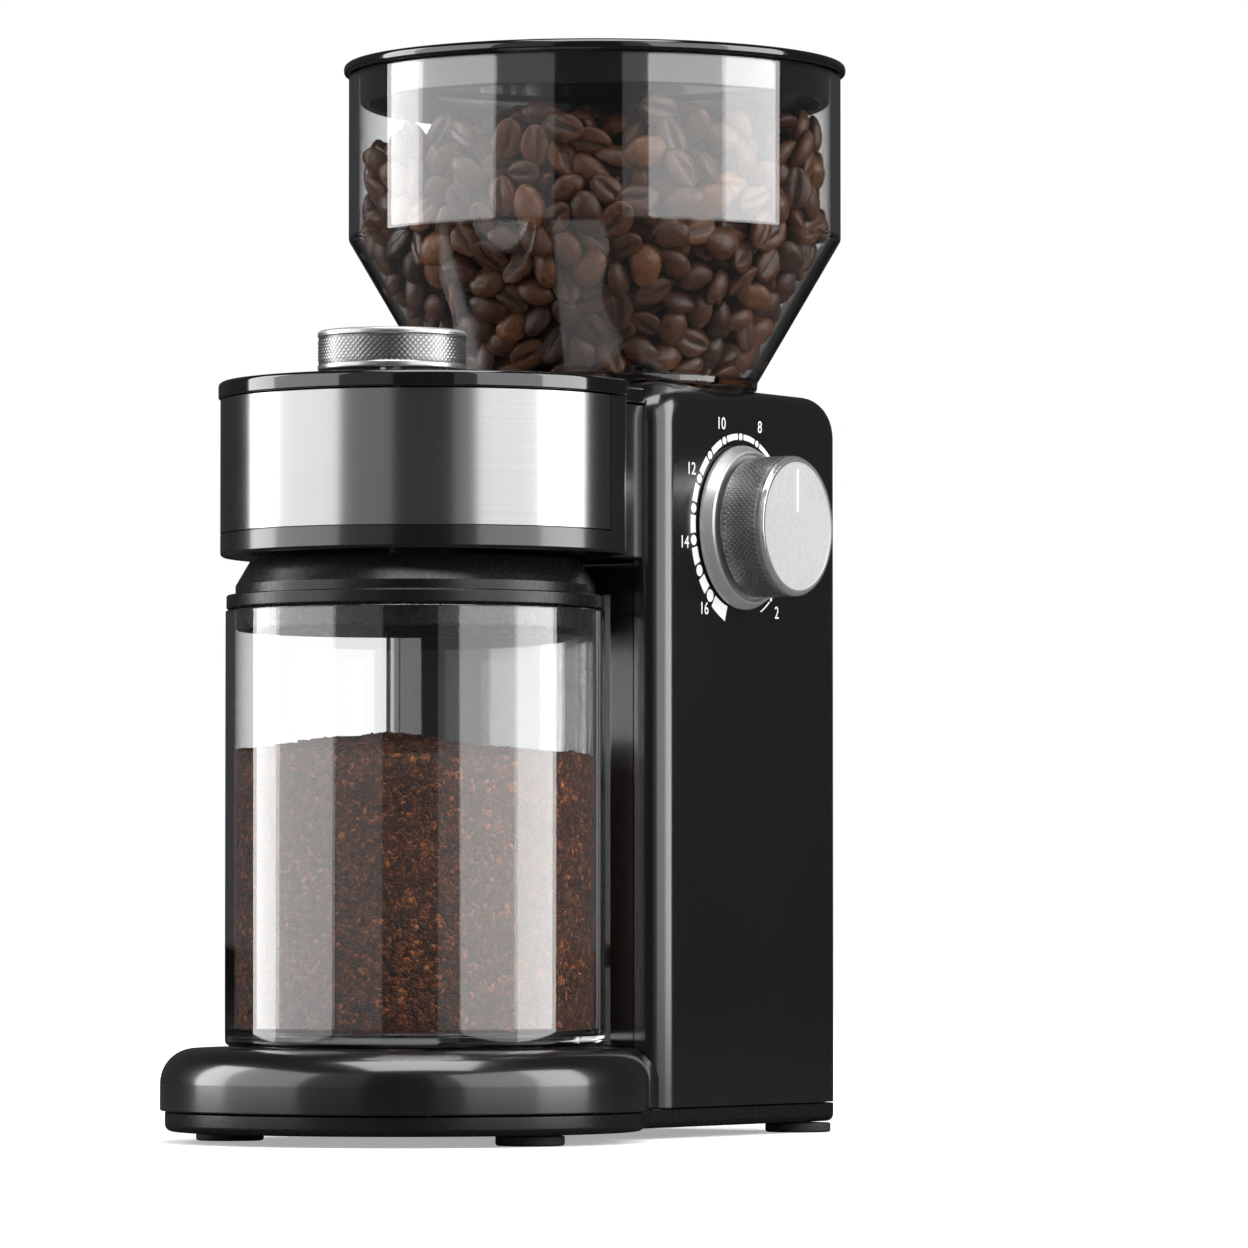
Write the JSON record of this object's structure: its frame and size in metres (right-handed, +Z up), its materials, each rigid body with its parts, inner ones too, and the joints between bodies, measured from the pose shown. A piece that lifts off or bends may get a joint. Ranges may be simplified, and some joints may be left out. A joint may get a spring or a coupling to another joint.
{
  "type": "burr coffee grinder",
  "caption": "Upright countertop coffee grinder with a clear bean hopper, a side grind dial, a top quantity knob and a clear slide-out grounds container.",
  "frame": {"origin": "on the ground under the middle of the outside box, midway between the two sides", "axes": "+Z up, -Y towards the front where the grounds container is, +X towards the side with the grind dial"},
  "size_m": [0.127, 0.209, 0.27],
  "materials": {
    "black_plastic": "gloss moulded",
    "clear_plastic": "clear, polished",
    "brushed_steel": "brushed along the band",
    "knurled_aluminium": "turned face, diamond-knurled side",
    "burr_steel": "ground",
    "plated_steel": "zinc plated",
    "grey_plastic": "matte moulded",
    "white_plastic": "natural moulded nylon",
    "rubber_black": "matte",
    "board_green": "solder mask",
    "motor_iron": "laminated core",
    "magnet_grey": "sintered",
    "coffee_beans": "dark roasted, slightly oily",
    "ground_coffee": "coarse granules",
    "dial_print": "white pad print"
  },
  "bodies": {
    "housing": {"base_shell": "black_plastic", "base_tray": "black_plastic", "column_housing": "black_plastic", "side_panel_right": "black_plastic", "side_panel_left": "black_plastic", "rear_cover": "black_plastic", "head_shell": "black_plastic", "head_cap": "black_plastic", "hopper_collar": "black_plastic", "steel_band": "brushed_steel", "dial_bezel": "knurled_aluminium", "burr_bearing_inner": "burr_steel", "burr_bearing_outer": "burr_steel", "tray_screw_front_left": "plated_steel", "tray_screw_front_right": "plated_steel", "tray_screw_rear_left": "plated_steel", "tray_screw_rear_right": "plated_steel", "board_screw_left": "plated_steel", "board_screw_right": "plated_steel", "gear_plate": "plated_steel", "idler_pin": "plated_steel", "motor_can": "plated_steel", "motor_end_drive": "plated_steel", "motor_end_rear": "plated_steel", "grounds_chute": "grey_plastic", "selector_encoder": "grey_plastic", "start_switch": "grey_plastic", "interlock_switch": "grey_plastic", "burr_housing": "grey_plastic", "burr_housing_cover": "grey_plastic", "foot_front_left": "rubber_black", "foot_front_right": "rubber_black", "foot_rear_left": "rubber_black", "foot_rear_right": "rubber_black", "cord_grommet": "rubber_black", "control_board": "board_green", "motor_magnet_upper": "magnet_grey", "motor_magnet_lower": "magnet_grey"},
    "hopper": {"hopper_shell": "clear_plastic"},
    "hopper_lid": {"hopper_lid": "black_plastic"},
    "grounds_container": {"container_jar": "clear_plastic"},
    "container_lid": {"container_lid": "black_plastic"},
    "grind_dial": {"dial_knob": "knurled_aluminium", "dial_stem": "plated_steel"},
    "burr_carrier": {"burr_carrier": "grey_plastic", "outer_burr": "burr_steel"},
    "burr_drive": {"burr_shaft": "plated_steel", "bean_auger": "burr_steel", "inner_burr": "burr_steel", "grounds_impeller": "white_plastic", "driven_gear": "white_plastic"},
    "idler": {"idler_gear": "white_plastic"},
    "rotor": {"motor_shaft": "plated_steel", "rotor_core": "motor_iron", "cooling_fan": "white_plastic", "motor_pinion": "plated_steel"},
    "start_plunger": {"start_collar": "white_plastic"},
    "cup_selector": {"selector_knob": "knurled_aluminium", "selector_shaft": "plated_steel"},
    "interlock": {"interlock_plunger": "grey_plastic"}
  },
  "joints": [
    {"name": "container_slide", "type": "slide", "parent": "housing", "child": "grounds_container", "axis": [0, -1, 0], "range_m": [0, 0.115]},
    {"name": "container_lid_twist", "type": "hinge", "parent": "grounds_container", "child": "container_lid", "pos_m": [0, -0.04084, 0.129], "axis": [0, 0, 1], "range_deg": [0, 30]},
    {"name": "hopper_lift", "type": "slide", "parent": "housing", "child": "hopper", "axis": [0, 0, 1], "range_m": [0, 0.04]},
    {"name": "hopper_lid_lift", "type": "slide", "parent": "hopper", "child": "hopper_lid", "axis": [0, 0, 1], "range_m": [0, 0.03]},
    {"name": "grind_dial_turn", "type": "hinge", "parent": "housing", "child": "grind_dial", "pos_m": [0.05, 0.0425, 0.1518], "axis": [1, 0, 0], "range_deg": [-150, 150]},
    {"name": "burr_gap_slide", "type": "slide", "parent": "housing", "child": "burr_carrier", "axis": [1, 0, 0], "range_m": [-0.00065, 0.00065]},
    {"name": "burr_spin", "type": "hinge", "parent": "housing", "child": "burr_drive", "pos_m": [0, 0.0425, 0.1518], "axis": [1, 0, 0], "continuous": true},
    {"name": "idler_spin", "type": "hinge", "parent": "housing", "child": "idler", "pos_m": [0, 0.0564, 0.1136], "axis": [1, 0, 0], "continuous": true},
    {"name": "motor_spin", "type": "hinge", "parent": "housing", "child": "rotor", "pos_m": [0, 0.04556, 0.09035], "axis": [1, 0, 0], "continuous": true},
    {"name": "start_press", "type": "slide", "parent": "housing", "child": "start_plunger", "axis": [0, 0, -1], "range_m": [0, 0.0015], "stiffness_N_per_m": 900, "springref_m": -0.002},
    {"name": "cup_selector_turn", "type": "hinge", "parent": "start_plunger", "child": "cup_selector", "pos_m": [0, -0.0511, 0.19], "axis": [0, 0, 1], "range_deg": [-135, 135]},
    {"name": "interlock_press", "type": "slide", "parent": "housing", "child": "interlock", "axis": [0, -1, 0], "range_m": [0, 0.003]}
  ],
  "couplings": [
    {"joint": "grind_dial_turn", "follows": "burr_gap_slide", "rad_per_m": 4000},
    {"joint": "idler_spin", "follows": "burr_spin", "ratio": -1.25},
    {"joint": "motor_spin", "follows": "burr_spin", "ratio": 3},
    {"joint": "interlock_press", "follows": "container_slide", "ratio": 0.026}
  ]
}
